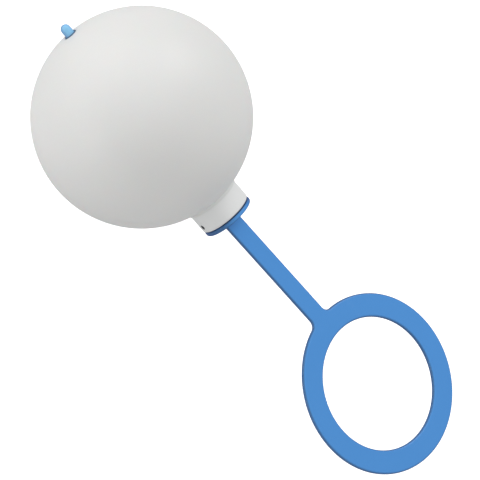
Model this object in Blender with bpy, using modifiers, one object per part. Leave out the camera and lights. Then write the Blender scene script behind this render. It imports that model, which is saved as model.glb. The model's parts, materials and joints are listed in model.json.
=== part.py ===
"""Pipette filler bulb: a soft ball with a pipette socket, a push valve and a ring-pull stopper.

Everything is laid out on one axis, the device axis, whose zero is the centre of the ball.
Local +Z runs from the ball through the socket to the ring, local +Y across the strap.
The whole device then lies on a table: the ball stands on it and the far edge of the ring
touches it, so the axis dips towards the ring. Sizes are in millimetres until MM is applied.
"""

import math

import bmesh
import bpy

MM = 0.001

# Fits
SEAT_GAP = 0.3  # between a piece and what it rests on or is gripped by
SLIDE_GAP = 0.15  # around the button and around pieces pushed into a bore
EDGE = 0.25  # small chamfers on turned pieces

# Soft ball
BALL_RADIUS = 30.0
BALL_WALL = 2.0
NECK_BEAD_WIDTH = 3.3  # thick bead around the neck opening, across
NECK_BEAD_HEIGHT = 1.0  # how far the bead stands in from the wall
VALVE_POCKET_WALL = 1.3
VALVE_POCKET_LIP = 0.8
VALVE_POCKET_STEP = 0.1  # its flat floor, in from the ball's inside

# Collar, the rigid neck piece around the sleeve
COLLAR_HEIGHT = 5.6  # from the pole of the ball to the rim
COLLAR_WALL = 1.2  # wall around the socket, at the groove
COLLAR_GROOVE = 0.85  # depth of the groove that holds the ball
BARB_WIDTH = 1.8  # how far the barb stands out from the groove
BARB_THICKNESS = 1.6
PARTITION = 1.2  # wall between the socket and the filter
PORT_RADIUS = 3.2  # air port through that wall
VENT_RADIUS = 0.6
VENT_SETBACK = 2.0  # vent centre, back from the rim
VENT_TURN = math.radians(10.0)  # round the collar, from straight across towards the table

# Socket sleeve that grips the pipette
SLEEVE_LENGTH = 12.5
SLEEVE_MOUTH_RADIUS = 4.2
SLEEVE_TAPER = 1.6  # how much narrower the bore is at its inner end, in radius
SLEEVE_WALL = 1.25  # at the mouth
VENT_CHANNEL_DEPTH = 0.8

# Filter
FILTER_THICKNESS = 0.8
RETAINER_THICKNESS = 1.2
RETAINER_WIDTH = 1.6

# Stopper: a rubber bung on the stud of the ring-pull
BUNG_LENGTH = 9.0
BUNG_FLOOR = 1.0
STUD_RADIUS = 1.2
STUD_HEAD_RADIUS = 1.7
STUD_HEAD_HEIGHT = 1.2
DISC_SETBACK = 0.05  # in from the collar's side
DISC_THICKNESS = 1.2
STRAP_WIDTH = 5.75
STRAP_THICKNESS = 1.5
STRAP_EDGE = 0.7  # edge rounding of strap and ring
STRAP_ROOT = 0.6  # how deep the strap is rooted in the disc
STRAP_LEAN = math.radians(1.2)  # the soft strap has set a little to one side
RING_CENTRE = 100.9  # from the centre of the ball, along a straight strap
RING_OUTER_RADIUS = 25.2
RING_INNER_RADIUS = 18.55
RING_FILLET = 2.0  # where the strap runs into the ring

# Push valve at the far pole
BUTTON_RADIUS = 1.4
BUTTON_PROUD = 3.1  # dome above the valve's rim
BUTTON_SHOULDER = 1.0  # how much wider the shoulder is than the dome
SHOULDER_THICKNESS = 0.8
STEM_RADIUS = 0.7
VALVE_RIM_WALL = 0.25
VALVE_RIM_PROUD = 0.2
VALVE_FLANGE_WIDTH = 0.9  # how far it stands out from the barrel
VALVE_FLANGE_THICKNESS = 1.2
VALVE_WALL = 1.0
VALVE_CHAMBER_LENGTH = 9.9
VALVE_FLOOR = 0.7  # between the chamber and the flange's outer face
SEAT_PLUG_LENGTH = 1.8
SEAT_FLANGE_THICKNESS = 1.0
SEAT_AIR_GAP = 0.6  # round the stem, through the seat
SEAL_OVERLAP = 1.3  # how much wider the seal is than the seat's hole, in radius
SEAL_THICKNESS = 0.8
CLIP_RADIUS = 2.2
CLIP_THICKNESS = 1.0
STEM_TAIL = 0.5  # stem beyond the clip
SPRING_WIRE_RADIUS = 0.2
SPRING_TURNS = 6

# Facets
BALL_STEPS = 48
ROUND_STEPS = 40
SMALL_STEPS = 24
CUT_PAST = 1.0  # how far a cutter reaches past the surface it opens

# Places along the device axis
RIM = BALL_RADIUS + COLLAR_HEIGHT
SLEEVE_RADIUS = SLEEVE_MOUTH_RADIUS + SLEEVE_WALL
SLEEVE_THROAT_RADIUS = SLEEVE_MOUTH_RADIUS - SLEEVE_TAPER
POCKET_RADIUS = SLEEVE_RADIUS + SLIDE_GAP
GROOVE_RADIUS = POCKET_RADIUS + COLLAR_WALL
COLLAR_RADIUS = GROOVE_RADIUS + COLLAR_GROOVE
BARB_RADIUS = GROOVE_RADIUS + BARB_WIDTH
NECK_RADIUS = GROOVE_RADIUS + SEAT_GAP
SLEEVE_TOP = RIM - SEAT_GAP
POCKET_FLOOR = SLEEVE_TOP - SLEEVE_LENGTH - SEAT_GAP
BEAD_RADIUS = NECK_RADIUS + NECK_BEAD_WIDTH
INNER_RADIUS = BALL_RADIUS - BALL_WALL
BEAD_FACE = math.sqrt(INNER_RADIUS**2 - BEAD_RADIUS**2) - NECK_BEAD_HEIGHT
FILTER_SEAT = POCKET_FLOOR - PARTITION
FILTER_TOP = FILTER_SEAT - SEAT_GAP
RETAINER_TOP = FILTER_TOP - FILTER_THICKNESS - SEAT_GAP
COLLAR_END = RETAINER_TOP - RETAINER_THICKNESS - SLIDE_GAP
DISC_FACE = RIM + SEAT_GAP
DISC_RADIUS = COLLAR_RADIUS - DISC_SETBACK
STRAP_START = DISC_FACE + DISC_THICKNESS - STRAP_ROOT
BUNG_TOP = DISC_FACE - SEAT_GAP
BUNG_END = BUNG_TOP - BUNG_LENGTH
STUD_END = BUNG_END + BUNG_FLOOR + SEAT_GAP

VALVE_BORE_RADIUS = BUTTON_RADIUS + SLIDE_GAP
VALVE_RIM_RADIUS = VALVE_BORE_RADIUS + VALVE_RIM_WALL
VALVE_RIM = -BALL_RADIUS - VALVE_RIM_PROUD
VALVE_SEAT_FACE = VALVE_POCKET_STEP - INNER_RADIUS  # flat floor of the ball's valve pocket
VALVE_FLANGE = VALVE_SEAT_FACE + SEAT_GAP
CHAMBER_FLOOR = VALVE_FLANGE + VALVE_FLOOR
BARREL_END = CHAMBER_FLOOR + VALVE_CHAMBER_LENGTH
SHOULDER_RADIUS = BUTTON_RADIUS + BUTTON_SHOULDER
VALVE_CHAMBER_RADIUS = SHOULDER_RADIUS + SEAT_GAP
VALVE_BARREL_RADIUS = VALVE_CHAMBER_RADIUS + VALVE_WALL
VALVE_FLANGE_RADIUS = VALVE_BARREL_RADIUS + VALVE_FLANGE_WIDTH
SPRING_RADIUS = (STEM_RADIUS + VALVE_CHAMBER_RADIUS) / 2  # to the middle of the wire
SHOULDER = CHAMBER_FLOOR + SEAT_GAP
SEAT_HOLE_RADIUS = STEM_RADIUS + SEAT_AIR_GAP
SEAL_RADIUS = SEAT_HOLE_RADIUS + SEAL_OVERLAP
SEAT_PLUG = BARREL_END - SEAT_PLUG_LENGTH
SEAT_FLANGE = BARREL_END + SEAT_GAP
SEAT_FACE = SEAT_FLANGE + SEAT_FLANGE_THICKNESS
SEAL = SEAT_FACE + SEAT_GAP
CLIP = SEAL + SEAL_THICKNESS + SEAT_GAP
STEM_END = CLIP + CLIP_THICKNESS + STEM_TAIL
BUTTON_TIP = VALVE_RIM - BUTTON_PROUD

# How the device lies: angle of the axis below level, and the box it fills
RING_ALONG = STRAP_START + (RING_CENTRE - STRAP_START) * math.cos(STRAP_LEAN)
REACH = RING_ALONG + RING_OUTER_RADIUS - STRAP_EDGE
EDGE_LIFT = STRAP_THICKNESS / 2 - STRAP_EDGE
DIP = math.asin((BALL_RADIUS - STRAP_EDGE) / math.hypot(REACH, EDGE_LIFT))
DIP -= math.atan2(EDGE_LIFT, REACH)
FAR_X = REACH * math.cos(DIP) + EDGE_LIFT * math.sin(DIP) + STRAP_EDGE
NEAR_X = (BUTTON_TIP + BUTTON_RADIUS) * math.cos(DIP) - BUTTON_RADIUS
CENTRE_X = -(FAR_X + NEAR_X) / 2


def new_collection(name):
    collection = bpy.data.collections.new(name)
    bpy.context.scene.collection.children.link(collection)
    return collection


def material(name, colour, roughness, metallic=0.0):
    made = bpy.data.materials.new(name)
    made.use_nodes = True
    shader = made.node_tree.nodes["Principled BSDF"]
    shader.inputs["Base Color"].default_value = (*colour, 1.0)
    shader.inputs["Roughness"].default_value = roughness
    shader.inputs["Metallic"].default_value = metallic
    made.diffuse_color = (*colour, 1.0)
    return made


def arc(centre, radius, start, end, steps):
    """Points on a circle from one angle to another, both in degrees and both included."""
    across, along = centre
    angles = [math.radians(start + (end - start) * i / steps) for i in range(steps + 1)]
    return [(across + radius * math.cos(a), along + radius * math.sin(a)) for a in angles]


def polar(radius, across):
    """Elevation in degrees of the point of a circle that lies this far across from its axis."""
    return math.degrees(math.acos(across / radius))


class Workshop:
    """Holds the collections and the frame that every piece is placed in."""

    def __init__(self):
        self.pieces = new_collection("pipette_filler_bulb")
        self.cutters = new_collection("cutters")
        self.axis = self.empty("device_axis", None)
        self.axis.location = (CENTRE_X * MM, 0.0, BALL_RADIUS * MM)
        self.axis.rotation_euler = (0.0, math.pi / 2 + DIP, 0.0)

    def empty(self, name, parent, along=0.0):
        made = bpy.data.objects.new(name, None)
        made.parent = parent
        made.location = (0.0, 0.0, along * MM)
        self.pieces.objects.link(made)
        return made

    def turned(self, name, profile, paint, parent=None, steps=ROUND_STEPS, cutter=False):
        """A solid of revolution. The profile is (radius, place along the axis) pairs, running
        down the outer side first. It is closed, unless it starts and ends on the axis.
        A parent empty carries the piece, and the piece is modelled from that empty's place."""
        parent = parent or self.axis
        start = 0.0 if parent is self.axis else parent.location.z / MM
        mesh = bpy.data.meshes.new(name)
        points = [(r * MM, 0.0, (z - start) * MM) for r, z in profile]
        edges = [(i, i + 1) for i in range(len(points) - 1)]
        if profile[0][0] > 0:
            edges.append((len(points) - 1, 0))
        mesh.from_pydata(points, edges, [])
        made = bpy.data.objects.new(name, mesh)
        made.parent = parent
        mesh.materials.append(paint)
        screw = made.modifiers.new("turn", "SCREW")
        screw.axis = "Z"
        screw.steps = steps
        screw.render_steps = steps
        screw.use_merge_vertices = True
        screw.merge_threshold = 1e-6
        self.file(made, cutter)
        return made

    def rod(self, name, radius, start, end, paint, steps=SMALL_STEPS):
        """A round cutter between two points of the device frame."""
        mesh = bpy.data.meshes.new(name)
        run = [b - a for a, b in zip(start, end)]
        length = math.hypot(*run)
        form = bmesh.new()
        bmesh.ops.create_cone(form, cap_ends=True, segments=steps, radius1=radius * MM,
                              radius2=radius * MM, depth=length * MM)
        form.to_mesh(mesh)
        form.free()
        made = bpy.data.objects.new(name, mesh)
        made.parent = self.axis
        made.location = [(a + b) / 2 * MM for a, b in zip(start, end)]
        made.rotation_euler = (math.acos(run[2] / length), 0.0, math.atan2(run[0], -run[1]))
        mesh.materials.append(paint)
        self.file(made, cutter=True)
        return made

    def block(self, name, low, high, paint, turn=0.0):
        """A box cutter between two corners, turned about the device axis."""
        mesh = bpy.data.meshes.new(name)
        form = bmesh.new()
        bmesh.ops.create_cube(form, size=1.0)
        size = [(b - a) * MM for a, b in zip(low, high)]
        bmesh.ops.scale(form, vec=size, verts=form.verts)
        form.to_mesh(mesh)
        form.free()
        made = bpy.data.objects.new(name, mesh)
        made.parent = self.axis
        x, y, z = [(a + b) / 2 * MM for a, b in zip(low, high)]
        made.location = (x * math.cos(turn) - y * math.sin(turn),
                         x * math.sin(turn) + y * math.cos(turn), z)
        made.rotation_euler = (0.0, 0.0, turn)
        mesh.materials.append(paint)
        self.file(made, cutter=True)
        return made

    def file(self, made, cutter=False):
        if cutter:
            made.hide_render = True
            made.display_type = "WIRE"
        (self.cutters if cutter else self.pieces).objects.link(made)


def combine(piece, other, how):
    boolean = piece.modifiers.new(how.lower(), "BOOLEAN")
    boolean.operation = how
    boolean.object = other
    boolean.solver = "EXACT"


def soft_ball(shop, paint):
    """Hollow ball with a beaded neck opening and a snap pocket for the valve."""
    valve_hole = VALVE_RIM_RADIUS + SEAT_GAP
    pocket = VALVE_FLANGE_RADIUS + SEAT_GAP
    lip = VALVE_BARREL_RADIUS + SEAT_GAP
    pocket_top = VALVE_FLANGE + VALVE_FLANGE_THICKNESS + SEAT_GAP
    boss_top = pocket_top + VALVE_POCKET_LIP
    boss = pocket + VALVE_POCKET_WALL
    centre = (0.0, 0.0)
    touch = math.degrees(DIP)  # the ring of points that stands on the table
    outside = arc(centre, BALL_RADIUS, polar(BALL_RADIUS, NECK_RADIUS), touch, 10)
    outside += arc(centre, BALL_RADIUS, touch, -polar(BALL_RADIUS, valve_hole), 15)[1:]
    pocket_side = [
        (valve_hole, VALVE_SEAT_FACE),
        (pocket, VALVE_SEAT_FACE),
        (pocket, pocket_top),
        (lip, pocket_top),
        (lip, boss_top),
        (boss, boss_top),
    ]
    high = polar(INNER_RADIUS, BEAD_RADIUS)
    inside = arc(centre, INNER_RADIUS, -polar(INNER_RADIUS, boss), high, 20)
    bead = [(BEAD_RADIUS, BEAD_FACE), (NECK_RADIUS, BEAD_FACE)]
    shop.turned("squeeze_bulb", outside + pocket_side + inside + bead, paint, steps=BALL_STEPS)


def collar(shop, paint):
    """Rigid neck piece: the ball's bead snaps in its groove, the sleeve and filter go inside."""
    shoulder_outer = math.sqrt(BALL_RADIUS**2 - COLLAR_RADIUS**2) + SEAT_GAP
    shoulder_inner = math.sqrt(BALL_RADIUS**2 - NECK_RADIUS**2) + SEAT_GAP
    barb_top = BEAD_FACE - SEAT_GAP
    barb_end = barb_top - BARB_THICKNESS
    barb_foot = barb_end - (BARB_RADIUS - GROOVE_RADIUS) / 2
    profile = [
        (COLLAR_RADIUS - EDGE, RIM),
        (COLLAR_RADIUS, RIM - EDGE),
        (COLLAR_RADIUS, shoulder_outer),
        (GROOVE_RADIUS, shoulder_inner),
        (GROOVE_RADIUS, barb_top),
        (BARB_RADIUS, barb_top),
        (BARB_RADIUS, barb_end),
        (GROOVE_RADIUS, barb_foot),
        (GROOVE_RADIUS, COLLAR_END),
        (POCKET_RADIUS, COLLAR_END),
        (POCKET_RADIUS, FILTER_SEAT),
        (PORT_RADIUS, FILTER_SEAT),
        (PORT_RADIUS, POCKET_FLOOR),
        (POCKET_RADIUS, POCKET_FLOOR),
        (POCKET_RADIUS, RIM),
    ]
    made = shop.turned("neck_collar", profile, paint)
    start, end = [
        (radius * math.sin(VENT_TURN), -radius * math.cos(VENT_TURN), RIM - VENT_SETBACK)
        for radius in (POCKET_RADIUS / 2, COLLAR_RADIUS + CUT_PAST)
    ]
    combine(made, shop.rod("vent_drill", VENT_RADIUS, start, end, paint), "DIFFERENCE")


def sleeve_bore(place):
    """Radius of the sleeve's tapered bore at a place along the axis."""
    share = (SLEEVE_TOP - place) / SLEEVE_LENGTH
    return SLEEVE_MOUTH_RADIUS + (SLEEVE_THROAT_RADIUS - SLEEVE_MOUTH_RADIUS) * share


def socket_sleeve(shop, paint):
    """Soft sleeve with a tapered bore, and a channel that leads the vent's air to its inner end."""
    end = SLEEVE_TOP - SLEEVE_LENGTH
    profile = [
        (SLEEVE_RADIUS, SLEEVE_TOP),
        (SLEEVE_RADIUS, end),
        (SLEEVE_THROAT_RADIUS, end),
        (SLEEVE_MOUTH_RADIUS, SLEEVE_TOP),
    ]
    made = shop.turned("socket_sleeve", profile, paint)
    channel_top = RIM - VENT_SETBACK + VENT_RADIUS + SLIDE_GAP
    floor = SLEEVE_RADIUS - VENT_CHANNEL_DEPTH
    side = -SLEEVE_RADIUS - CUT_PAST
    channel = shop.block("channel_mill", (-VENT_RADIUS, side, end + VENT_CHANNEL_DEPTH / 2),
                         (VENT_RADIUS, -floor, channel_top), paint, VENT_TURN)
    notch = shop.block("notch_mill", (-VENT_RADIUS, side, end - CUT_PAST),
                       (VENT_RADIUS, -SLEEVE_THROAT_RADIUS / 2, end + VENT_CHANNEL_DEPTH), paint,
                       VENT_TURN)
    combine(made, channel, "DIFFERENCE")
    combine(made, notch, "DIFFERENCE")


def filter_parts(shop, membrane, plastic):
    """Membrane that keeps liquid out of the ball, and the ring that holds it."""
    outer = POCKET_RADIUS - SLIDE_GAP
    bottom = FILTER_TOP - FILTER_THICKNESS
    disc = [(0.0, FILTER_TOP), (outer, FILTER_TOP), (outer, bottom), (0.0, bottom)]
    shop.turned("filter_disc", disc, membrane)
    low = RETAINER_TOP - RETAINER_THICKNESS
    inner = outer - RETAINER_WIDTH
    ring = [(outer, RETAINER_TOP), (outer, low), (inner, low), (inner, RETAINER_TOP)]
    shop.turned("filter_retainer", ring, plastic)


def bung(shop, paint, carrier):
    """Rubber bung that closes the socket, snapped on the stud of the ring-pull."""
    cavity = STUD_HEAD_RADIUS + SEAT_GAP
    neck = STUD_RADIUS + SEAT_GAP
    ceiling = STUD_END + STUD_HEAD_HEIGHT + SEAT_GAP
    floor = BUNG_END + BUNG_FLOOR
    profile = [
        (sleeve_bore(SLEEVE_TOP) - SEAT_GAP, BUNG_TOP),
        (sleeve_bore(SLEEVE_TOP) - SEAT_GAP, SLEEVE_TOP),
        (sleeve_bore(BUNG_END + EDGE) - SEAT_GAP, BUNG_END + EDGE),
        (sleeve_bore(BUNG_END) - SEAT_GAP - EDGE, BUNG_END),
        (0.0, BUNG_END),
    ]
    hollow = [(0.0, floor), (cavity, floor), (cavity, ceiling), (neck, ceiling), (neck, BUNG_TOP)]
    # The profile starts and ends on the axis, so it is turned from the cavity's floor round.
    shop.turned("stopper_bung", hollow + profile, paint, carrier)


def ring_outline():
    """Outline of strap and ring in their own plane: along the strap, then across it."""
    half = STRAP_WIDTH / 2
    fillet_y = half + RING_FILLET
    fillet_x = RING_CENTRE - math.sqrt((RING_OUTER_RADIUS + RING_FILLET) ** 2 - fillet_y**2)
    meet = math.degrees(math.atan2(fillet_y, RING_CENTRE - fillet_x))
    side = arc((fillet_x, -fillet_y), RING_FILLET, 90.0, meet, 6)
    round_ring = arc((RING_CENTRE, 0.0), RING_OUTER_RADIUS, 180.0 + meet, 540.0 - meet, 56)
    other_side = [(x, -y) for x, y in reversed(side)]
    return [(STRAP_START, -half)] + side + round_ring[1:-1] + other_side + [(STRAP_START, half)]


def leaned(along, across):
    """A point of the strap's outline, turned about the strap's root by the strap's lean."""
    reach = along - STRAP_START
    return (STRAP_START + reach * math.cos(STRAP_LEAN) - across * math.sin(STRAP_LEAN),
            reach * math.sin(STRAP_LEAN) + across * math.cos(STRAP_LEAN))


def strap_and_ring(shop, paint):
    """Flat strap that widens into the ring, with rounded edges, as a mesh to join to the disc."""
    curve = bpy.data.curves.new("strap_outline", "CURVE")
    curve.dimensions = "2D"
    curve.fill_mode = "BOTH"
    curve.extrude = (STRAP_THICKNESS / 2 - STRAP_EDGE) * MM
    curve.bevel_depth = STRAP_EDGE * MM
    curve.bevel_resolution = 2
    curve.offset = -STRAP_EDGE * MM
    hole = arc((RING_CENTRE, 0.0), RING_INNER_RADIUS, 360.0, 0.0, 56)[:-1]
    for loop in (ring_outline(), hole):
        spline = curve.splines.new("POLY")
        spline.points.add(len(loop) - 1)
        for point, place in zip(spline.points, loop):
            along, across = leaned(*place)
            point.co = (along * MM, across * MM, 0.0, 1.0)
        spline.use_cyclic_u = True
    drawn = bpy.data.objects.new("strap_outline", curve)
    drawn.parent = shop.axis
    drawn.rotation_euler = (0.0, -math.pi / 2, 0.0)
    shop.cutters.objects.link(drawn)
    bpy.context.view_layer.update()
    seen = drawn.evaluated_get(bpy.context.evaluated_depsgraph_get())
    mesh = bpy.data.meshes.new_from_object(seen)
    form = bmesh.new()
    form.from_mesh(mesh)
    bmesh.ops.remove_doubles(form, verts=form.verts, dist=1e-6)
    bmesh.ops.recalc_face_normals(form, faces=form.faces)
    form.to_mesh(mesh)
    form.free()
    mesh.materials.clear()
    mesh.materials.append(paint)
    solid = bpy.data.objects.new("strap_blank", mesh)
    solid.matrix_world = drawn.matrix_world
    bpy.data.objects.remove(drawn)
    shop.file(solid, cutter=True)
    return solid


def ring_pull(shop, paint, carrier):
    """Disc, snap stud, strap and ring in one moulding. It can turn on its bung."""
    outer_face = DISC_FACE + DISC_THICKNESS
    rounding = DISC_THICKNESS / 3
    head_top = STUD_END + STUD_HEAD_HEIGHT
    profile = [(0.0, outer_face)]
    profile += arc((DISC_RADIUS - rounding, outer_face - rounding), rounding, 90.0, 0.0, 4)
    profile += arc((DISC_RADIUS - rounding, DISC_FACE + rounding), rounding, 0.0, -90.0, 4)
    profile += [
        (STUD_RADIUS, DISC_FACE),
        (STUD_RADIUS, head_top),
        (STUD_HEAD_RADIUS, head_top - EDGE),
        (STUD_HEAD_RADIUS, STUD_END + STUD_HEAD_HEIGHT / 2),
        (STUD_RADIUS, STUD_END),
        (0.0, STUD_END),
    ]
    made = shop.turned("ring_pull", profile, paint, carrier)
    combine(made, strap_and_ring(shop, paint), "UNION")


def valve_housing(shop, paint):
    """Valve body in the ball's snap pocket, and the seat that closes its inner end."""
    flange_end = VALVE_FLANGE + VALVE_FLANGE_THICKNESS
    body = [
        (VALVE_BARREL_RADIUS, BARREL_END),
        (VALVE_BARREL_RADIUS, flange_end),
        (VALVE_FLANGE_RADIUS, flange_end),
        (VALVE_FLANGE_RADIUS, VALVE_FLANGE),
        (VALVE_RIM_RADIUS, VALVE_FLANGE),
        (VALVE_RIM_RADIUS, VALVE_RIM),
        (VALVE_BORE_RADIUS, VALVE_RIM),
        (VALVE_BORE_RADIUS, CHAMBER_FLOOR),
        (VALVE_CHAMBER_RADIUS, CHAMBER_FLOOR),
        (VALVE_CHAMBER_RADIUS, BARREL_END),
    ]
    shop.turned("valve_body", body, paint, steps=SMALL_STEPS)
    plug = VALVE_CHAMBER_RADIUS - SLIDE_GAP
    seat = [
        (VALVE_BARREL_RADIUS, SEAT_FACE),
        (VALVE_BARREL_RADIUS, SEAT_FLANGE),
        (plug, SEAT_FLANGE),
        (plug, SEAT_PLUG),
        (SEAT_HOLE_RADIUS, SEAT_PLUG),
        (SEAT_HOLE_RADIUS, SEAT_FACE),
    ]
    shop.turned("valve_seat", seat, paint, steps=SMALL_STEPS)


def release_button(shop, paint, carrier):
    """Push button: dome outside, shoulder in the chamber, stem through the seat."""
    profile = [(0.0, STEM_END), (STEM_RADIUS, STEM_END)]
    profile += [
        (STEM_RADIUS, SHOULDER + SHOULDER_THICKNESS),
        (SHOULDER_RADIUS, SHOULDER + SHOULDER_THICKNESS),
        (SHOULDER_RADIUS, SHOULDER),
        (BUTTON_RADIUS, SHOULDER),
    ]
    profile += arc((0.0, BUTTON_TIP + BUTTON_RADIUS), BUTTON_RADIUS, 0.0, -90.0, 6)[:-1]
    profile += [(0.0, BUTTON_TIP)]
    shop.turned("release_button", profile, paint, carrier, SMALL_STEPS)


def poppet(shop, rubber, plastic, carrier):
    """Seal that closes the seat's hole, and the clip that holds it on the stem."""
    hole = STEM_RADIUS + SEAT_GAP
    seal_end = SEAL + SEAL_THICKNESS
    seal = [(SEAL_RADIUS, seal_end), (SEAL_RADIUS, SEAL), (hole, SEAL), (hole, seal_end)]
    shop.turned("poppet_seal", seal, rubber, carrier, SMALL_STEPS)
    grip = STEM_RADIUS + SLIDE_GAP
    clip_end = CLIP + CLIP_THICKNESS
    clip = [(CLIP_RADIUS, clip_end), (CLIP_RADIUS, CLIP), (grip, CLIP), (grip, clip_end)]
    shop.turned("poppet_clip", clip, plastic, carrier, SMALL_STEPS)


def spring(shop, paint, carrier):
    """Coil between the button's shoulder and the seat's plug."""
    low = SHOULDER + SHOULDER_THICKNESS + SEAT_GAP + SPRING_WIRE_RADIUS
    high = SEAT_PLUG - SEAT_GAP - SPRING_WIRE_RADIUS
    start = carrier.location.z / MM
    count = SPRING_TURNS * 12
    curve = bpy.data.curves.new("release_spring", "CURVE")
    curve.dimensions = "3D"
    curve.bevel_depth = SPRING_WIRE_RADIUS * MM
    curve.bevel_resolution = 1
    curve.use_fill_caps = True
    spline = curve.splines.new("POLY")
    spline.points.add(count)
    for i, point in enumerate(spline.points):
        turn = 2 * math.pi * SPRING_TURNS * i / count
        along = low + (high - low) * i / count - start
        across = SPRING_RADIUS * math.cos(turn), SPRING_RADIUS * math.sin(turn)
        point.co = (across[0] * MM, across[1] * MM, along * MM, 1.0)
    curve.materials.append(paint)
    made = bpy.data.objects.new("release_spring", curve)
    made.parent = carrier
    shop.file(made)


def build():
    for old in list(bpy.data.objects):
        bpy.data.objects.remove(old)
    shop = Workshop()
    soft_white = material("soft_white", (0.80, 0.80, 0.78), 0.45)
    hard_white = material("hard_white", (0.84, 0.85, 0.84), 0.3)
    membrane = material("membrane", (0.9, 0.9, 0.9), 0.9)
    blue = material("blue_plastic", (0.09, 0.27, 0.62), 0.35)
    grey_rubber = material("grey_rubber", (0.2, 0.21, 0.22), 0.6)
    steel = material("spring_steel", (0.6, 0.6, 0.6), 0.3, 1.0)

    pull_axis = shop.empty("pull_axis", shop.axis, BUNG_TOP)
    button_axis = shop.empty("button_axis", shop.axis, VALVE_RIM)

    soft_ball(shop, soft_white)
    collar(shop, hard_white)
    socket_sleeve(shop, grey_rubber)
    filter_parts(shop, membrane, hard_white)
    bung(shop, grey_rubber, pull_axis)
    ring_pull(shop, blue, pull_axis)
    valve_housing(shop, blue)
    release_button(shop, blue, button_axis)
    poppet(shop, grey_rubber, hard_white, button_axis)
    spring(shop, steel, button_axis)


build()
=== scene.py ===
import json
import math

import bmesh
import bpy
from mathutils import Matrix, Vector


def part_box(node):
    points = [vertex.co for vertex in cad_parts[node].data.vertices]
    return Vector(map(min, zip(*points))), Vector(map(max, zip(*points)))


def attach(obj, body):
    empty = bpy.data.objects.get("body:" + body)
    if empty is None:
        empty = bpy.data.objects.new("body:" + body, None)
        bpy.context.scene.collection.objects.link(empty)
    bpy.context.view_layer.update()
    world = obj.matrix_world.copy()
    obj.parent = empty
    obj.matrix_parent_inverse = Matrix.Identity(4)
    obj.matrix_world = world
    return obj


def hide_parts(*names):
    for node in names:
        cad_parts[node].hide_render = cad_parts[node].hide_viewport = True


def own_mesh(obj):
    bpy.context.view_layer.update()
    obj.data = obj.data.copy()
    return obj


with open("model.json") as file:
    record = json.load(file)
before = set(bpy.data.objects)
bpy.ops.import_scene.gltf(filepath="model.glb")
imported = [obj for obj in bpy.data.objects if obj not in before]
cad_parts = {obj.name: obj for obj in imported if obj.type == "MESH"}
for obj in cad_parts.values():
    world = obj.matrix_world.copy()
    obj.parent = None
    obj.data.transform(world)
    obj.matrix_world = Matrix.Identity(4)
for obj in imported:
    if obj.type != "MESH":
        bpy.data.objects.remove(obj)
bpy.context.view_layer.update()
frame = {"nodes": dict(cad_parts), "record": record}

MM = 0.001

# ---------------------------------------------------------------- sizes, in millimetres

# Squeeze ball
BALL_WALL = 2.0
SKIN = 0.02  # depth of a cut that only just breaks a surface
SNUG = 0.03  # left free round the collar and round the valve's rim
NECK_BEAD_WIDTH = 3.3  # thick bead round the neck opening
NECK_BEAD_HEIGHT = 1.0
BEAD_EASE = 0.3
HUG_LIP_HEIGHT = 0.9  # soft lip that hugs the collar
HUG_LIP_WALL = 0.25
HUG_FILLET = 1.2
BALL_CLEAR = 1.0  # the collar stands free of the ball's round from here on
VALVE_RIM = 0.5  # length of the valve's rim
POCKET_STEP = 0.1  # flat floor of the valve's pocket, in from the ball's inside
POCKET_GAP = 0.1  # round the valve
POCKET_DEPTH = 1.9
POCKET_WALL = 1.5
POCKET_LIP = 0.8  # height of the lip that snaps over the valve

# Collar
VENT_FLARE = 0.12
VENT_PAST = 1.0  # how far the drill reaches past the surface

# Ring-pull
STRAP_EDGE = 0.7  # rounding of strap and ring
STRAP_ROOT = 0.6  # how deep the strap is rooted in the disc
RING_FILLET = 2.0  # where the strap runs into the ring
ROOT_FILLET = 0.55  # where the strap runs into the disc
FOOT_SUNK = 0.3
FOOT_PROUD = 0.004  # the foot's skin lies just outside the strap's
DISC_FROM = 4.0  # the disc lies outside this radius
DISC_BEFORE = 12.0  # and less than this beyond the ball
RING_FROM = 10.0  # the ring alone reaches from here, before its centre, to the far end

# Release spring
SPRING_TURNS = 6

# Steps in a full turn
BALL_STEPS = 192
COLLAR_STEPS = 144
DISC_STEPS = 160
PIECE_STEPS = 96
HOLE_STEPS = 160
VENT_STEPS = 32
SPRING_STEPS = 40

# Steps in a part of a curve
OUTSIDE_STEPS = 120
INSIDE_STEPS = 90
RING_STEPS = 180
FILLET_STEPS = 12
FOOT_STEPS = 10
CORNER_STEPS = 8
STRAP_BEVEL = 6
WIRE_BEVEL = 4
ARC_STEP = 11.0  # degrees, in a rounded corner
ARC_SHARE = 0.49  # of an edge, at most, for the rounding at each of its ends

# Edges, in degrees
STRAIGHT = 1.0  # an outline that bends less than this runs straight on
FACET = 32.0  # one that bends less than this is a facet of an arc
FACET_ROUNDING = 20.0  # millimetres, more than any facet takes
BALL_SHARP = 35.0

# Merging of points, in metres for solids and in millimetres for sections
SPUN_MERGE = 1e-6
DRAWN_MERGE = 2e-6
SLIVER = 1e-7
SECTION_SNAP = 1e-3
SECTION_MERGE = 2e-3

# ---------------------------------------------------------------- the device axis, from the frame

joints = {joint["name"]: joint for joint in frame["record"]["behaviour"]["joints"]}

AXIS = Vector(joints["stopper_pull"]["axis"]).normalized()  # from the ball to the ring
ACROSS = Vector((0.0, 1.0, 0.0))  # across the strap
FACE = AXIS.cross(ACROSS)  # out of the strap's upper side

ball_low, ball_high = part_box("squeeze_bulb")
BALL_R = (ball_high.y - ball_low.y) / 2 / MM
on_axis = Vector(joints["ring_swivel"]["pos_m"])
centre_height = ball_low.z + BALL_R * MM
BALL_CENTRE = on_axis + AXIS * ((centre_height - on_axis.z) / AXIS.z)
DEVICE = Matrix.Translation(BALL_CENTRE) @ Matrix((-FACE, ACROSS, AXIS)).transposed().to_4x4()


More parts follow.
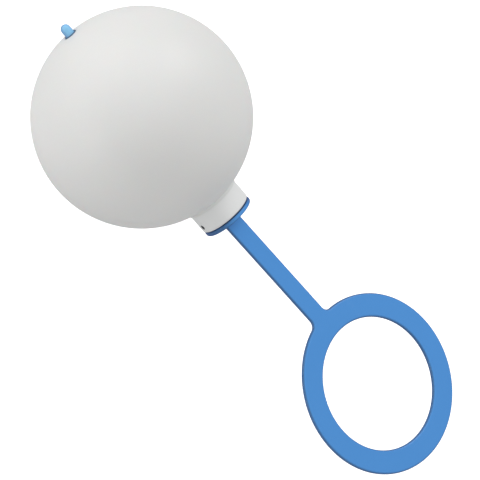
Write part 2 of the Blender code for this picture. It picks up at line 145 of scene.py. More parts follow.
class Extent:
    """How far a CAD node reaches along the device axis and out from it, in millimetres."""

    def __init__(self, node):
        to_device = DEVICE.inverted()
        self.points = [to_device @ v.co / MM for v in frame["nodes"][node].data.vertices]
        self.rings = [(math.hypot(p.x, p.y), p.z) for p in self.points]
        self.low = min(z for r, z in self.rings)
        self.high = max(z for r, z in self.rings)
        self.radius = max(r for r, z in self.rings)

    def widest(self, low, high):
        """Largest radius between two places along the axis."""
        return max(r for r, z in self.rings if low <= z <= high)

    def narrowest(self, low, high):
        """Smallest radius between two places along the axis."""
        return min(r for r, z in self.rings if low <= z <= high)


# ---------------------------------------------------------------- surface effects

FLAT_FACES = 0.97  # how squarely a flat face lies in the moulding's plane; such faces get no painted shade
FLANK_FACES = 0.55  # and how squarely a side face does, at most; such faces get the full painted shade


class Nodes:
    """Short hand for adding and joining shader nodes in one tree."""

    def __init__(self, tree):
        self.tree = tree

    def add(self, kind, **settings):
        node = self.tree.nodes.new(kind)
        for name, value in settings.items():
            setattr(node, name, value)
        return node

    def link(self, source, target):
        self.tree.links.new(source, target)

    def put(self, target, value):
        """Joins an output to an input, or sets the input's value."""
        if isinstance(value, bpy.types.NodeSocket):
            self.link(value, target)
        else:
            target.default_value = value

    def maths(self, operation, first, second=0.0, third=None):
        node = self.add("ShaderNodeMath", operation=operation)
        self.put(node.inputs[0], first)
        self.put(node.inputs[1], second)
        if third is not None:
            self.put(node.inputs[2], third)
        return node.outputs[0]

    def facing(self, normal, direction):
        """How squarely a direction faces another: 1 straight on, 0 across, -1 away."""
        node = self.add("ShaderNodeVectorMath", operation="DOT_PRODUCT")
        self.link(normal, node.inputs[0])
        node.inputs[1].default_value = direction
        return node.outputs["Value"]

    def noise(self, where, scale, detail, roughness=0.5, distortion=0.0):
        node = self.add("ShaderNodeTexNoise")
        self.link(where, node.inputs["Vector"])
        self.put(node.inputs["Scale"], scale)
        node.inputs["Detail"].default_value = detail
        node.inputs["Roughness"].default_value = roughness
        node.inputs["Distortion"].default_value = distortion
        return node.outputs

    def fit(self, value, low, high, to_low=0.0, to_high=1.0):
        """Stretches a range of values onto another, and holds it there."""
        node = self.add("ShaderNodeMapRange")
        self.put(node.inputs["Value"], value)
        self.put(node.inputs["From Min"], low)
        self.put(node.inputs["From Max"], high)
        self.put(node.inputs["To Min"], to_low)
        self.put(node.inputs["To Max"], to_high)
        return node.outputs[0]

    def blend(self, share, first, second, kind="RGBA"):
        node = self.add("ShaderNodeMix", data_type=kind)
        self.put(node.inputs["Factor"], share)
        self.put(node.inputs["A"], first)
        self.put(node.inputs["B"], second)
        return node.outputs["Result"]


def new_group(name, inputs, outputs):
    """Node group with (label, value) inputs and labelled outputs, all of them plain numbers."""
    group = bpy.data.node_groups.new(name, "ShaderNodeTree")
    for label, value in inputs:
        made = group.interface.new_socket(label, in_out="INPUT", socket_type="NodeSocketFloat")
        made.default_value = value
    for label in outputs:
        group.interface.new_socket(label, in_out="OUTPUT", socket_type="NodeSocketFloat")
    nodes = Nodes(group)
    given = nodes.add("NodeGroupInput").outputs
    out = nodes.add("NodeGroupOutput").inputs
    return group, nodes, given, out


def mould_grain():
    """Height of a moulded surface: fine spark-eroded grain over a slow waviness."""
    group, nodes, given, out = new_group(
        "mould grain",
        [("Grain Scale", 3000.0), ("Wave Scale", 120.0), ("Wave Share", 0.5)],
        ["Height", "Grain"])
    where = nodes.add("ShaderNodeTexCoord").outputs["Object"]
    grain = nodes.noise(where, given["Grain Scale"], detail=2.0)["Fac"]
    wave = nodes.noise(where, given["Wave Scale"], detail=1.0)["Fac"]
    nodes.link(nodes.blend(given["Wave Share"], grain, wave, "FLOAT"), out["Height"])
    nodes.link(grain, out["Grain"])
    return group


def handling_marks():
    """Masks of what hands leave: broad soft smudges, and sparse fine scuffs in all directions."""
    group, nodes, given, out = new_group(
        "handling marks",
        [("Smudge Scale", 70.0), ("Scuff Scale", 400.0)],
        ["Smudge", "Scuff"])
    where = nodes.add("ShaderNodeTexCoord").outputs["Object"]
    smudge = nodes.noise(where, given["Smudge Scale"], detail=4.0, distortion=0.6)["Fac"]
    nodes.link(nodes.fit(smudge, 0.42, 0.68), out["Smudge"])

    warp = nodes.noise(where, 150.0, detail=2.0)["Color"]
    scuff = nodes.add("ShaderNodeTexVoronoi", feature="DISTANCE_TO_EDGE")
    nodes.link(nodes.blend(0.02, where, warp, "VECTOR"), scuff.inputs["Vector"])
    nodes.link(given["Scuff Scale"], scuff.inputs["Scale"])
    line = nodes.fit(scuff.outputs["Distance"], 0.0, 0.025, 1.0, 0.0)
    gate = nodes.fit(nodes.noise(where, 260.0, detail=2.0)["Fac"], 0.58, 0.7)
    nodes.link(nodes.maths("MULTIPLY", line, gate), out["Scuff"])
    return group


def edge_wear():
    """Mask of convex edges, broken up by noise, from the surface's own curvature."""
    group, nodes, given, out = new_group("edge wear", [("Reach", 0.5)], ["Edge"])
    where = nodes.add("ShaderNodeTexCoord").outputs["Object"]
    edge = nodes.fit(nodes.add("ShaderNodeNewGeometry").outputs["Pointiness"], 0.52, 0.62)
    broken = nodes.fit(nodes.noise(where, 900.0, detail=3.0)["Fac"], 0.4, 0.65)
    worn = nodes.maths("MULTIPLY", nodes.maths("MULTIPLY", edge, broken), given["Reach"])
    nodes.link(worn, out["Edge"])
    return group


def painted_flank_shade_mask():
    """Mask of painted shade on the moulding's flanks: none on its flat faces, full on its sides."""
    group, nodes, given, out = new_group(
        "flank shade", [("Flat From", FLAT_FACES), ("Side From", FLANK_FACES)], ["Flank"])
    level = nodes.facing(nodes.add("ShaderNodeTexCoord").outputs["Normal"], FACE)
    flat = nodes.maths("ABSOLUTE", level)
    nodes.link(nodes.fit(flat, given["Flat From"], given["Side From"]), out["Flank"])
    return group


GRAIN = mould_grain()
MARKS = handling_marks()
WEAR = edge_wear()
# painted shade on the moulding's flanks, darker where the light falls less
PAINTED_FLANK_SHADE_MASK = painted_flank_shade_mask()

# ---------------------------------------------------------------- finishes

CLOUD_SCALE = 45.0  # slow drift of the colour, over about 20 mm
SCUFF_ROUGHNESS = 0.12
GRAIN_ROUGHNESS = 0.06
SCUFF_DEPTH = -0.25
RELIEF = 0.05 * MM


def scaled(colour, share):
    return tuple(part * share for part in colour)


def finish_material(name, colour, roughness, tint=None, grain=3000.0, wave=120.0,
                    wave_share=0.4, bump=0.1, smudge=0.06, mottle=0.03, wear=0.3,
                    worn=None, painted_flank_shade=None, painted_shade_from=(FLAT_FACES, FLANK_FACES), constants=None):
    """A moulded finish: colour with slow mottling, grained and wavy, smudged and worn at edges,
    with painted shade on its side faces when a shade colour is given.
    """
    made = bpy.data.materials.new(name)
    made.use_nodes = True
    nodes = Nodes(made.node_tree)
    shader = made.node_tree.nodes["Principled BSDF"]
    where = nodes.add("ShaderNodeTexCoord").outputs["Object"]

    surface = nodes.add("ShaderNodeGroup", node_tree=GRAIN)
    surface.inputs["Grain Scale"].default_value = grain
    surface.inputs["Wave Scale"].default_value = wave
    surface.inputs["Wave Share"].default_value = wave_share
    marks = nodes.add("ShaderNodeGroup", node_tree=MARKS).outputs
    edges = nodes.add("ShaderNodeGroup", node_tree=WEAR)
    edges.inputs["Reach"].default_value = wear

    cloud = nodes.noise(where, CLOUD_SCALE, detail=4.0, roughness=0.55)["Fac"]
    drift = nodes.fit(cloud, 0.35, 0.7, 0.0, mottle * 10)
    body = nodes.blend(drift, (*colour, 1.0), (*(tint or scaled(colour, 0.93)), 1.0))
    speck = nodes.fit(surface.outputs["Grain"], 0.25, 0.75, 0.0, mottle * 4)
    body = nodes.blend(speck, body, (*scaled(colour, 0.9), 1.0))
    rubbed = worn or tuple(min(1.0, part * 1.15 + 0.02) for part in colour)
    body = nodes.blend(edges.outputs["Edge"], body, (*rubbed, 1.0))
    # painted shade: the moulding's side faces take a darker, greyer colour that stands in for the
    # shade falling on them
    if painted_flank_shade:
        sides = nodes.add("ShaderNodeGroup", node_tree=PAINTED_FLANK_SHADE_MASK)
        sides.inputs["Flat From"].default_value = painted_shade_from[0]
        sides.inputs["Side From"].default_value = painted_shade_from[1]
        body = nodes.blend(sides.outputs["Flank"], body, (*painted_flank_shade, 1.0))
    nodes.link(body, shader.inputs["Base Color"])

    rough = nodes.maths("MULTIPLY_ADD", marks["Smudge"], smudge, roughness - smudge / 2)
    rough = nodes.maths("MULTIPLY_ADD", marks["Scuff"], SCUFF_ROUGHNESS, rough)
    rough = nodes.maths("MULTIPLY_ADD", surface.outputs["Grain"], GRAIN_ROUGHNESS, rough)
    nodes.link(rough, shader.inputs["Roughness"])

    relief = nodes.add("ShaderNodeBump")
    relief.inputs["Strength"].default_value = bump
    relief.inputs["Distance"].default_value = RELIEF
    height = nodes.maths("MULTIPLY_ADD", marks["Scuff"], SCUFF_DEPTH, surface.outputs["Height"])
    nodes.link(height, relief.inputs["Height"])
    nodes.link(relief.outputs["Normal"], shader.inputs["Normal"])

    for label, value in (constants or {}).items():
        shader.inputs[label].default_value = value
    return made


def depth_tint(red, green, blue):
    """Clear skin that takes light away along its depth, so round edges look deeper."""
    return {
        "Coat Weight": 1.0,
        "Coat IOR": 1.01,
        "Coat Roughness": 0.3,
        "Coat Tint": (red, green, blue, 1.0),
    }


def soft_vinyl():
    return finish_material(
        "soft white vinyl", (0.80, 0.80, 0.785), 0.44, tint=(0.775, 0.78, 0.77),
        grain=2600.0, wave=60.0, wave_share=0.55, bump=0.22, smudge=0.08, mottle=0.04, wear=0.1,
        constants={
            "Specular IOR Level": 0.42,
            "Subsurface Weight": 0.12,
            "Subsurface Scale": 1.2 * MM,
        })


def rigid_white():
    return finish_material(
        "rigid white plastic", (0.84, 0.85, 0.845), 0.3,
        grain=4200.0, wave=300.0, wave_share=0.3, bump=0.08, smudge=0.05, mottle=0.02, wear=0.1)


def blue_plastic():
    return finish_material(
        "blue plastic", (0.088, 0.38, 0.835), 0.34, tint=(0.079, 0.357, 0.795),
        grain=3400.0, wave=160.0, wave_share=0.45, bump=0.14, smudge=0.07, mottle=0.05,
        # painted shade: side faces of the strap, ring and disc in a darker, greyer blue
        wear=0.2, worn=(0.14, 0.41, 0.82), painted_flank_shade=(0.062, 0.185, 0.385),
        constants=depth_tint(0.85, 0.85, 0.92))


def light_blue_plastic():
    return finish_material(
        "light blue plastic", (0.34, 0.72, 1.0), 0.3, tint=(0.31, 0.68, 0.98),
        grain=4200.0, wave=400.0, mottle=0.04, wear=0.2, worn=(0.4, 0.76, 1.0),
        # painted shade: the button dome's outer band in a greyer blue
        painted_flank_shade=(0.22, 0.42, 0.69), painted_shade_from=(0.6, -0.1),
        constants=depth_tint(0.84, 0.87, 0.93))


def navy_plastic():
    return finish_material(
        "navy plastic", (0.09, 0.17, 0.29), 0.36,
        grain=4200.0, wave=400.0, mottle=0.04, wear=0.25, worn=(0.06, 0.14, 0.34))


def grey_rubber():
    return finish_material(
        "grey rubber", (0.10, 0.105, 0.115), 0.62,
        grain=3200.0, wave=260.0, bump=0.3, mottle=0.05, worn=(0.2, 0.2, 0.21),
        constants={"Specular IOR Level": 0.35})


def filter_membrane():
    return finish_material(
        "filter membrane", (0.86, 0.86, 0.85), 0.9,
        grain=5200.0, wave=1500.0, wave_share=0.5, bump=0.6, mottle=0.06, wear=0.0,
        constants={"Specular IOR Level": 0.2})


def spring_steel():
    return finish_material(
        "spring steel", (0.56, 0.56, 0.57), 0.26,
        grain=6000.0, wave=900.0, mottle=0.05, constants={"Metallic": 1.0})


# ---------------------------------------------------------------- outlines and solids


def rounded(corners):
    """Outline from (radius, place, rounding) corners. Each rounded corner becomes an arc."""
    outline = []
    count = len(corners)
    for i, (r, z, rounding) in enumerate(corners):
        here = Vector((r, z))
        if not rounding:
            outline.append(here)
            continue
        before = Vector(corners[i - 1][:2]) - here
        after = Vector(corners[(i + 1) % count][:2]) - here
        half = before.angle(after) / 2
        longest = ARC_SHARE * before.length, ARC_SHARE * after.length
        run = min(rounding / math.tan(half), *longest)
        radius = run * math.tan(half)
        inward = (before.normalized() + after.normalized()).normalized()
        middle = here + inward * (radius / math.sin(half))
        first = here + before.normalized() * run - middle
        last = here + after.normalized() * run - middle
        turn = first.angle_signed(last)
        steps = max(3, int(abs(math.degrees(turn)) / ARC_STEP))
        for k in range(steps + 1):
            spin = Matrix.Rotation(-turn * k / steps, 2)
            outline.append(middle + spin @ first)
    return [(p.x, p.y) for p in outline]


def arc(radius, start, end, steps):
    """Points of a circle about the ball's centre, from one elevation to another, in degrees."""
    angles = [math.radians(start + (end - start) * i / steps) for i in range(steps + 1)]
    return [(radius * math.cos(a), radius * math.sin(a)) for a in angles]


def elevation(radius, across):
    """Elevation in degrees of a sphere's point that lies this far from the axis."""
    return math.degrees(math.acos(across / radius))


def height_at(radius, across):
    """Place along the axis of a sphere's point that lies this far from the axis."""
    return math.sqrt(radius**2 - across**2)


def in_scene(name, data):
    made = bpy.data.objects.new(name, data)
    bpy.context.scene.collection.objects.link(made)
    return made


def spun(name, outline, steps):
    """Solid of revolution; an outline that starts off the axis is closed on itself."""
    mesh = bpy.data.meshes.new(name)
    points = [(r * MM, 0.0, z * MM) for r, z in outline]
    edges = [(i, i + 1) for i in range(len(points) - 1)]
    if outline[0][0] > 0:
        edges.append((len(points) - 1, 0))
    mesh.from_pydata(points, edges, [])
    made = in_scene(name, mesh)
    screw = made.modifiers.new("turn", "SCREW")
    screw.steps = steps
    screw.render_steps = steps
    screw.use_merge_vertices = True
    screw.merge_threshold = SPUN_MERGE
    return made


def place(made, material, body, replaced):
    """Gives a piece its place, finish and body, and lets it stand for a CAD node."""
    made.matrix_world = DEVICE
    made.data.materials.append(material)
    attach(made, body)
    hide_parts(replaced)


def turned(name, outline, material, body, replaced, steps):
    """Turned piece on the device axis; its outline runs down the outer side first."""
    made = spun(name, outline, steps)
    place(made, material, body, replaced)
    return made


def finished_mesh(made):
    """The object's mesh with all its modifiers applied."""
    bpy.context.view_layer.update()
    return bpy.data.meshes.new_from_object(
        made.evaluated_get(bpy.context.evaluated_depsgraph_get()))


def apply_all(made, sharp=40.0):
    """Keeps the finished mesh as the piece's own, in place: smooth, with sharp edges by angle."""
    mesh = finished_mesh(made)
    mesh.transform(DEVICE)
    form = bmesh.new()
    form.from_mesh(mesh)
    bmesh.ops.dissolve_degenerate(form, edges=form.edges, dist=SLIVER)
    bmesh.ops.recalc_face_normals(form, faces=form.faces)
    form.to_mesh(mesh)
    form.free()
    made.modifiers.clear()
    made.data = mesh
    made.matrix_world = Matrix.Identity(4)
    mesh.shade_smooth()
    mesh.set_sharp_from_angle(angle=math.radians(sharp))
    flats = made.modifiers.new("flat flats", "WEIGHTED_NORMAL")
    flats.keep_sharp = True


def combine(made, name, operation, other):
    """Adds another solid to a piece, or cuts it out of the piece."""
    boolean = made.modifiers.new(name, "BOOLEAN")
    boolean.operation = operation
    boolean.object = other
    boolean.solver = "EXACT"
    return boolean


def drawn_form(curve):
    """Closed solid of a thick curve, as a bmesh."""
    drawn = in_scene("drawn", curve)
    mesh = finished_mesh(drawn)
    bpy.data.objects.remove(drawn)
    form = bmesh.new()
    form.from_mesh(mesh)
    bmesh.ops.remove_doubles(form, verts=form.verts, dist=DRAWN_MERGE)
    return form


def from_form(name, form):
    """A solid in the device frame, from a bmesh."""
    mesh = bpy.data.meshes.new(name)
    form.to_mesh(mesh)
    form.free()
    made = in_scene(name, mesh)
    made.matrix_world = DEVICE
    return made


# ---------------------------------------------------------------- turned pieces from the CAD


def section(node):
    """Outline of a turned CAD piece, as (radius, place) corners in order, and whether it closes."""
    form = bmesh.new()
    form.from_mesh(frame["nodes"][node].data)
    to_device = Matrix.Scale(1 / MM, 4) @ DEVICE.inverted()
    bmesh.ops.transform(form, matrix=to_device, verts=form.verts)
    for normal, keep_inner in (((0.0, 1.0, 0.0), False), ((-1.0, 0.0, 0.0), True)):
        parts = form.verts[:] + form.edges[:] + form.faces[:]
        bmesh.ops.bisect_plane(
            form, geom=parts, dist=SECTION_SNAP, plane_co=(0.0, 0.0, 0.0), plane_no=normal,
            clear_outer=True, clear_inner=not keep_inner)
    bmesh.ops.remove_doubles(form, verts=form.verts, dist=SECTION_MERGE)
    links = {}
    for edge in form.edges:
        one, other = edge.verts
        links.setdefault(one, []).append(other)
        links.setdefault(other, []).append(one)
    ends = [v for v in links if len(links[v]) == 1]
    here = max(ends or links, key=lambda v: v.co.z)
    chain, last = [here], None
    while True:
        onward = [v for v in links[here] if v is not last and v is not chain[0]]
        if not onward:
            break
        last, here = here, onward[0]
        chain.append(here)
    points = [Vector((abs(v.co.x), v.co.z)) for v in chain]
    form.free()
    closed = not ends
    kept = []
    for i, here in enumerate(points):
        at_end = not closed and i in (0, len(points) - 1)
        if at_end or bend(points, i) > math.radians(STRAIGHT):
            kept.append(here)
    return kept, closed


def bend(points, i):
    """How much an outline turns at one of its points."""
    before, here, after = points[i - 1], points[i], points[(i + 1) % len(points)]
    return abs((here - before).angle_signed(after - here))


def softened(node, rounding):
    """A turned CAD piece's outline with rounded corners; facets of its arcs become true curves."""
    points, closed = section(node)
    corners = []
    for i, here in enumerate(points):
        if not closed and i in (0, len(points) - 1):
            corners.append((here.x, here.y, 0.0))
        elif bend(points, i) < math.radians(FACET):
            corners.append((here.x, here.y, FACET_ROUNDING))
        else:
            corners.append((here.x, here.y, rounding))
    return rounded(corners)


def refined(node, body, material, rounding):
    """The CAD piece again, finely turned, with moulded edges."""
    outline = softened(node, rounding)
    made = turned(node + "_moulded", outline, material, body, node, PIECE_STEPS)
    apply_all(made)


# ---------------------------------------------------------------- squeeze ball


def squeeze_ball(material):
    """Soft ball: bead round the neck, lip that hugs the collar, snap pocket for the valve."""
    cad = Extent("squeeze_bulb")
    collar = Extent("neck_collar")
    valve = Extent("valve_body")
    neck = cad.narrowest(0, BALL_R)
    valve_hole = valve.widest(valve.low, valve.low + VALVE_RIM) + SNUG
    inner = BALL_R - BALL_WALL
    pocket = valve.radius + POCKET_GAP
    pocket_floor = POCKET_STEP - inner
    flange_top = pocket_floor + POCKET_DEPTH
    lip = valve.widest(valve.high - 0.1, valve.high) + POCKET_GAP
    boss = pocket + POCKET_WALL
    bead = neck + NECK_BEAD_WIDTH
    bead_face = height_at(inner, bead) - NECK_BEAD_HEIGHT
    neck_z = height_at(BALL_R, neck)
    valve_z = -height_at(BALL_R, valve_hole)
    hug = collar.widest(BALL_R + BALL_CLEAR, collar.high) + SNUG
    hug_z = height_at(BALL_R, hug)
    flare = hug + HUG_LIP_WALL + HUG_FILLET
    outline = rounded([
        (neck, neck_z - SKIN, 0.0),
        (hug, hug_z - SKIN, 0.0),
        (hug, hug_z + HUG_LIP_HEIGHT, 0.1),
        (hug + HUG_LIP_WALL, hug_z + HUG_LIP_HEIGHT, 0.15),
        (hug + HUG_LIP_WALL + 0.05, height_at(BALL_R, hug + 0.4), HUG_FILLET),
        (flare, height_at(BALL_R, flare), 0.0),
    ])
    outline += arc(BALL_R, elevation(BALL_R, flare + 0.1),
                   -elevation(BALL_R, valve_hole + 0.25), OUTSIDE_STEPS)
    outline += [(valve_hole + 0.08, valve_z + SKIN), (valve_hole, valve_z + 0.2)]
    outline += rounded([
        (valve_hole, pocket_floor, 0.0),
        (pocket, pocket_floor, 0.2),
        (pocket, flange_top, 0.1),
        (lip, flange_top, 0.1),
        (lip, flange_top + POCKET_LIP, 0.2),
        (boss, flange_top + POCKET_LIP, 0.4),
        (boss, -height_at(inner, boss), 0.0),
    ])
    outline += arc(inner, -elevation(inner, boss), elevation(inner, bead), INSIDE_STEPS)[1:]
    outline += [
        (bead, bead_face + BEAD_EASE),
        (bead - BEAD_EASE, bead_face),
        (neck + 0.1, bead_face),
        (neck, bead_face + 0.1),
    ]
    made = turned("squeeze_ball_skin", outline, material, "bulb", "squeeze_bulb", BALL_STEPS)
    apply_all(made, BALL_SHARP)


# ---------------------------------------------------------------- collar


def vent_tool(hole_radius, start, end, direction):
    """A round drill with a flared mouth, pointing out from the axis."""
    tool = spun("vent_drill", [
        (0.0, end + VENT_PAST),
        (hole_radius + VENT_FLARE, end + VENT_PAST),
        (hole_radius + VENT_FLARE, end),
        (hole_radius, end - VENT_FLARE),
        (hole_radius, start),
        (0.0, start),
    ], VENT_STEPS)
    outward = Vector((direction.x, direction.y, 0.0))
    turn = Vector((0.0, 0.0, 1.0)).rotation_difference(outward).to_matrix().to_4x4()
    tool.matrix_world = DEVICE @ Matrix.Translation((0.0, 0.0, direction.z * MM)) @ turn
    return tool


def vent_place(collar):
    """The collar's side hole: its direction and place, its radius, and the collar's radius."""
    outer = collar.widest(BALL_R + BALL_CLEAR, collar.high)
    rim = [p for p in collar.points
           if BALL_R + BALL_CLEAR < p.z < collar.high - 0.5 and p.xy.length > outer - 0.5]
    out = (sum(rim, Vector()) / len(rim)).xy.normalized()
    low, high = min(p.z for p in rim), max(p.z for p in rim)
    return Vector((out.x, out.y, (high + low) / 2)), (high - low) / 2, outer


def neck_collar(material, hole_shade_paint):
    """Collar with softened edges and a side hole whose mouth is eased and whose wall is painted
    with dark rubber as shade in the hole.
    """
    outline = softened("neck_collar", 0.12)
    made = turned("neck_collar_moulded", outline, material, "bulb", "neck_collar", COLLAR_STEPS)
    direction, radius, outer = vent_place(Extent("neck_collar"))
    tool = vent_tool(radius, outer / 2, outer - SKIN, direction)
    # painted shade: the hole's wall takes the dark rubber finish so the hole looks dark inside
    tool.data.materials.append(hole_shade_paint)
    vent = combine(made, "vent", "DIFFERENCE", tool)
    vent.material_mode = "TRANSFER"
    apply_all(made)
    bpy.data.objects.remove(tool)


# ---------------------------------------------------------------- ring-pull


def pull_outline(half, start, centre, outer):
    """Outline of strap and ring in their plane, (along, across), before the strap's lean."""
    fillet_y = half + RING_FILLET
    fillet_x = centre - math.sqrt((outer + RING_FILLET)**2 - fillet_y**2)
    meet = math.atan2(fillet_y, centre - fillet_x)
    side = []
    for k in range(FILLET_STEPS + 1):
        angle = math.pi / 2 + (meet - math.pi / 2) * k / FILLET_STEPS
        side.append((fillet_x + RING_FILLET * math.cos(angle),
                     -fillet_y + RING_FILLET * math.sin(angle)))
    round_ring = []
    for k in range(1, RING_STEPS):
        angle = math.pi + meet + (2 * math.pi - 2 * meet) * k / RING_STEPS
        round_ring.append((centre + outer * math.cos(angle), outer * math.sin(angle)))
    other = [(x, -y) for x, y in reversed(side)]
    return [(start, -half)] + side + round_ring + other + [(start, half)]


def strap_foot(thickness, half, face, start, lean):
    """Foot of the strap: its section widens in a hollow curve down to the disc."""
    form = bmesh.new()
    rings = []
    for k in range(-1, FOOT_STEPS + 1):  # the first ring is sunk in the disc
        angle = max(k, 0) / FOOT_STEPS * math.pi / 2
        grow = STRAP_EDGE + ROOT_FILLET * (1 - math.sin(angle)) + FOOT_PROUD
        rise = face + (ROOT_FILLET * (1 - math.cos(angle)) if k >= 0 else -FOOT_SUNK)
        shift = (rise - start) * math.tan(lean)
        ring = []
        for quarter, (side_x, side_y) in enumerate(((1, 1), (-1, 1), (-1, -1), (1, -1))):
            for m in range(CORNER_STEPS + 1):
                spin = math.pi / 2 * (quarter + m / CORNER_STEPS)
                x = side_x * (thickness / 2 - STRAP_EDGE) + grow * math.cos(spin)
                y = side_y * (half - STRAP_EDGE) + grow * math.sin(spin) + shift
                ring.append(form.verts.new((x * MM, y * MM, rise * MM)))
        rings.append(ring)
    count = len(rings[0])
    for low, high in zip(rings, rings[1:]):
        for m in range(count):
            after = (m + 1) % count
            form.faces.new((low[m], low[after], high[after], high[m]))
    form.faces.new(list(reversed(rings[0])))
    form.faces.new(rings[-1])
    bmesh.ops.recalc_face_normals(form, faces=form.faces)
    return from_form("strap_foot", form)


def strap_and_ring(half, start, reach, lean, outer, inner, thickness):
    """Flat strap running out into the ring, both with fully rounded edges."""
    hole = [(start + reach + inner * math.cos(math.tau * k / HOLE_STEPS),
             inner * math.sin(-math.tau * k / HOLE_STEPS)) for k in range(HOLE_STEPS)]
    curve = bpy.data.curves.new("strap_outline", "CURVE")
    curve.dimensions = "2D"
    curve.fill_mode = "BOTH"
    curve.extrude = (thickness / 2 - STRAP_EDGE) * MM
    curve.bevel_depth = STRAP_EDGE * MM
    curve.bevel_resolution = STRAP_BEVEL
    curve.offset = -STRAP_EDGE * MM
    for loop in (pull_outline(half, start, start + reach, outer), hole):
        spline = curve.splines.new("POLY")
        spline.points.add(len(loop) - 1)
        for point, (along, across) in zip(spline.points, loop):
            run = along - start
            leaned_along = start + run * math.cos(lean) - across * math.sin(lean)
            leaned_across = run * math.sin(lean) + across * math.cos(lean)
            point.co = (leaned_along * MM, leaned_across * MM, 0.0, 1.0)
        spline.use_cyclic_u = True
    form = drawn_form(curve)
    bmesh.ops.transform(form, matrix=Matrix.Rotation(-math.pi / 2, 4, "Y"), verts=form.verts)
    bmesh.ops.recalc_face_normals(form, faces=form.faces)
    return from_form("strap_and_ring", form)


def disc_and_stud(cad):
    """Outline of the disc and its snap stud, and the disc's outer face and radius."""
    disc = [(r, z) for r, z in cad.rings if DISC_FROM < r and z < BALL_R + DISC_BEFORE]
    face, back, radius = max(z for r, z in disc), min(z for r, z in disc), max(r for r, z in disc)
    ease = (face - back) / 3
    stud = [(r, z) for r, z in cad.rings if z < back - 0.1]
    end, wide = min(z for r, z in stud), max(r for r, z in stud)
    thin = min(r for r, z in stud if r > 0.5)
    top = max(z for r, z in stud)
    outline = rounded([
        (0.0, face, 0.0),
        (radius, face, ease),
        (radius, back, ease),
        (thin, back, 0.1),
        (thin, top, 0.08),
        (wide, top - 0.25, 0.15),
        (wide, (end + top) / 2, 0.25),
        (thin, end, 0.2),
        (0.0, end, 0.0),
    ])
    return outline, face, radius


def ring_pull(material):
    """Disc, snap stud, strap and ring in one moulding, every edge rounded."""
    cad = Extent("ring_pull")
    outline, face, radius = disc_and_stud(cad)
    made = turned("ring_pull_moulded", outline, material, "pull", "ring_pull", DISC_STEPS)

    hole = frame["record"]["physics"]["openings"][0]["box_m"]
    middle = (Vector(hole[0]) + Vector(hole[1])) / 2
    along = (middle.x - BALL_CENTRE.x) / AXIS.x / MM
    across = middle.y / MM
    start = face - STRAP_ROOT
    lean = math.atan2(across, along - start)
    ring = [p for p in cad.points if p.z > along - RING_FROM]
    thickness = max(p.x for p in ring) - min(p.x for p in ring)
    out_from = [math.hypot(p.z - along, p.y - across) for p in ring]
    foot = [p.y for p in cad.points
            if abs(p.z - face) < 0.1 and abs(p.x) < thickness and abs(p.y) < radius / 2]
    half = (max(foot) - min(foot)) / 2
    reach = math.hypot(along - start, across)
    parts = [strap_foot(thickness, half, face, start, lean),
             strap_and_ring(half, start, reach, lean, max(out_from), min(out_from), thickness)]
    for part in parts:
        combine(made, part.name, "UNION", part)
    apply_all(made)
    for part in parts:
        bpy.data.objects.remove(part)


# ---------------------------------------------------------------- release spring


def wound_spring(material):
    """Return spring of the button, at its rest length; in the real filler it shortens towards the
    seat as the button goes in.
    """
    cad = Extent("release_spring")
    wire = (cad.radius - min(r for r, z in cad.rings)) / 2
    middle = cad.radius - wire
    low, high = cad.low + wire, cad.high - wire
    count = SPRING_TURNS * SPRING_STEPS
    curve = bpy.data.curves.new("spring_path", "CURVE")
    curve.dimensions = "3D"
    curve.bevel_depth = wire * MM
    curve.bevel_resolution = WIRE_BEVEL
    curve.use_fill_caps = True
    spline = curve.splines.new("POLY")
    spline.points.add(count)
    for i, point in enumerate(spline.points):
        turn = math.tau * SPRING_TURNS * i / count
        along = low + (high - low) * i / count
        point.co = (middle * math.cos(turn) * MM, middle * math.sin(turn) * MM, along * MM, 1.0)
    made = from_form("release_spring_wound", drawn_form(curve))
    place(made, material, "bulb", "release_spring")
    apply_all(made)
    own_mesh(made)


# ---------------------------------------------------------------- the whole filler


def build():
    vinyl = soft_vinyl()
    white = rigid_white()
    blue = blue_plastic()
    rubber = grey_rubber()
    squeeze_ball(vinyl)
    # the rubber also paints the collar's side hole dark, as painted shade
    neck_collar(white, rubber)
    ring_pull(blue)
    refined("valve_body", "bulb", navy_plastic(), 0.06)
    refined("valve_seat", "bulb", blue, 0.12)
    refined("release_button", "button", light_blue_plastic(), 0.1)
    refined("poppet_seal", "button", rubber, 0.15)
    refined("poppet_clip", "button", white, 0.15)
    refined("filter_disc", "bulb", filter_membrane(), 0.1)
    refined("filter_retainer", "bulb", white, 0.12)
    refined("stopper_bung", "bung", rubber, 0.15)
    wound_spring(spring_steel())
    sleeve = frame["nodes"]["socket_sleeve"]  # the CAD's own mesh is fine enough inside the collar
    sleeve.data.materials.clear()
    sleeve.data.materials.append(rubber)


# ---------------------------------------------------------------- floor

FLOOR_DROP = 24.0 * MM  # the ring swings clear of the floor in every position of its joints
FLOOR_REACH = 3.0
FLOOR_WHITE = 0.72
FLOOR_GLOW = 0.8  # what the eye sees of it, but no other surface does


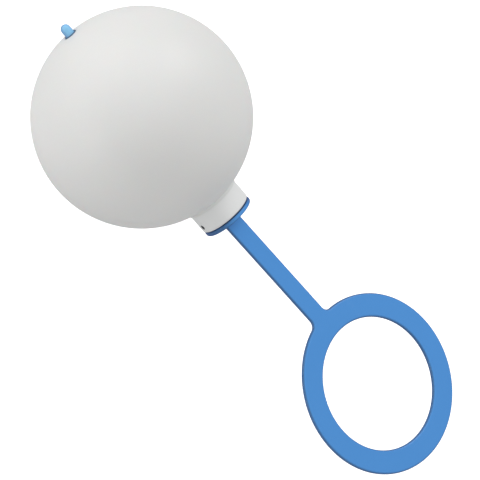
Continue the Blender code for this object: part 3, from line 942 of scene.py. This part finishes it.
def floor():
    """Wide white sweep below the object."""
    mesh = bpy.data.meshes.new("floor")
    form = bmesh.new()
    bmesh.ops.create_grid(form, x_segments=1, y_segments=1, size=FLOOR_REACH,
                          matrix=Matrix.Translation((0.0, 0.0, -FLOOR_DROP)))
    form.to_mesh(mesh)
    form.free()
    made = in_scene("floor", mesh)
    paint = bpy.data.materials.new("white sweep")
    paint.use_nodes = True
    nodes = Nodes(paint.node_tree)
    shader = paint.node_tree.nodes["Principled BSDF"]
    shader.inputs["Base Color"].default_value = (FLOOR_WHITE, FLOOR_WHITE, FLOOR_WHITE, 1.0)
    shader.inputs["Roughness"].default_value = 0.9
    shader.inputs["Specular IOR Level"].default_value = 0.1
    shader.inputs["Emission Color"].default_value = (1.0, 1.0, 1.0, 1.0)
    glow = nodes.maths("MULTIPLY", nodes.add("ShaderNodeLightPath").outputs["Is Camera Ray"],
                       FLOOR_GLOW)
    nodes.link(glow, shader.inputs["Emission Strength"])
    mesh.materials.append(paint)


# ---------------------------------------------------------------- light

SKY_ALL_ROUND = 0.137
SKY_OVERHEAD = 0.726
SKY_SIDES = (  # brightness towards each side of the room
    ((-1.0, 0.0, 0.0), 0.287),
    ((1.0, 0.0, 0.0), 0.428),
    ((0.0, 1.0, 0.0), 0.074),
)
SUBJECT = Vector((0.0, 0.0, 0.03))
PANELS = (  # name, place and width in metres, watts
    ("left panel", (-1.1, 0.1, 0.45), 0.6, 1.6),
    ("low front panel", (-0.45, -1.1, 0.1), 0.5, 2.36),
    ("low left panel", (-1.1, -0.55, 0.08), 0.5, 3.25),
    ("high back panel", (-0.2, 0.75, 0.85), 0.6, 3.43),
)


def panel(name, at, width, watts):
    """Round soft panel aimed at the object."""
    data = bpy.data.lights.new(name, "AREA")
    data.shape = "DISK"
    data.size = width
    data.energy = watts
    made = in_scene(name, data)
    made.location = at
    made.rotation_euler = (SUBJECT - Vector(at)).to_track_quat("-Z", "Y").to_euler()


def lights():
    """Soft tent of light, brightest overhead, with panels to the left, low in front and behind."""
    world = bpy.data.worlds.new("studio")
    world.use_nodes = True
    nodes = Nodes(world.node_tree)
    shade = world.node_tree.nodes["Background"]
    shade.inputs["Color"].default_value = (1.0, 1.0, 1.0, 1.0)
    outward = nodes.add("ShaderNodeTexCoord").outputs["Generated"]

    def towards(direction):
        return nodes.maths("MAXIMUM", nodes.facing(outward, direction), 0.0)

    above = nodes.maths("POWER", towards((0.0, 0.0, 1.0)), 2.0)
    level = nodes.maths("MULTIPLY_ADD", above, SKY_OVERHEAD, SKY_ALL_ROUND)
    for direction, strength in SKY_SIDES:
        level = nodes.maths("MULTIPLY_ADD", towards(direction), strength, level)
    nodes.link(level, shade.inputs["Strength"])
    bpy.context.scene.world = world
    for name, at, width, watts in PANELS:
        panel(name, at, width, watts)
    bpy.context.scene.view_settings.view_transform = "Standard"


# ---------------------------------------------------------------- camera

LOOK_AT = Vector((-3.28, -5.80, 26.25)) * MM
CAMERA_AZIMUTH = -8.37  # degrees
CAMERA_ELEVATION = 58.9
CAMERA_ROLL = -49.14
CAMERA_DISTANCE = 1.2034  # metres
LENS = 335.0


def camera():
    """Long lens from high in front, rolled so that the axis runs across the picture."""
    data = bpy.data.cameras.new("camera")
    data.lens = LENS
    data.sensor_width = 36.0
    data.clip_start = 0.05
    data.clip_end = 20.0
    made = in_scene("camera", data)
    azimuth = math.radians(CAMERA_AZIMUTH)
    rise = math.radians(CAMERA_ELEVATION)
    back = Vector((math.sin(azimuth) * math.cos(rise), -math.cos(azimuth) * math.cos(rise),
                   math.sin(rise)))
    turn = (-back).to_track_quat("-Z", "Y").to_matrix().to_4x4()
    roll = Matrix.Rotation(math.radians(-CAMERA_ROLL), 4, "Z")
    made.matrix_world = Matrix.Translation(LOOK_AT + back * CAMERA_DISTANCE) @ turn @ roll
    bpy.context.scene.camera = made


build()
floor()
lights()
camera()
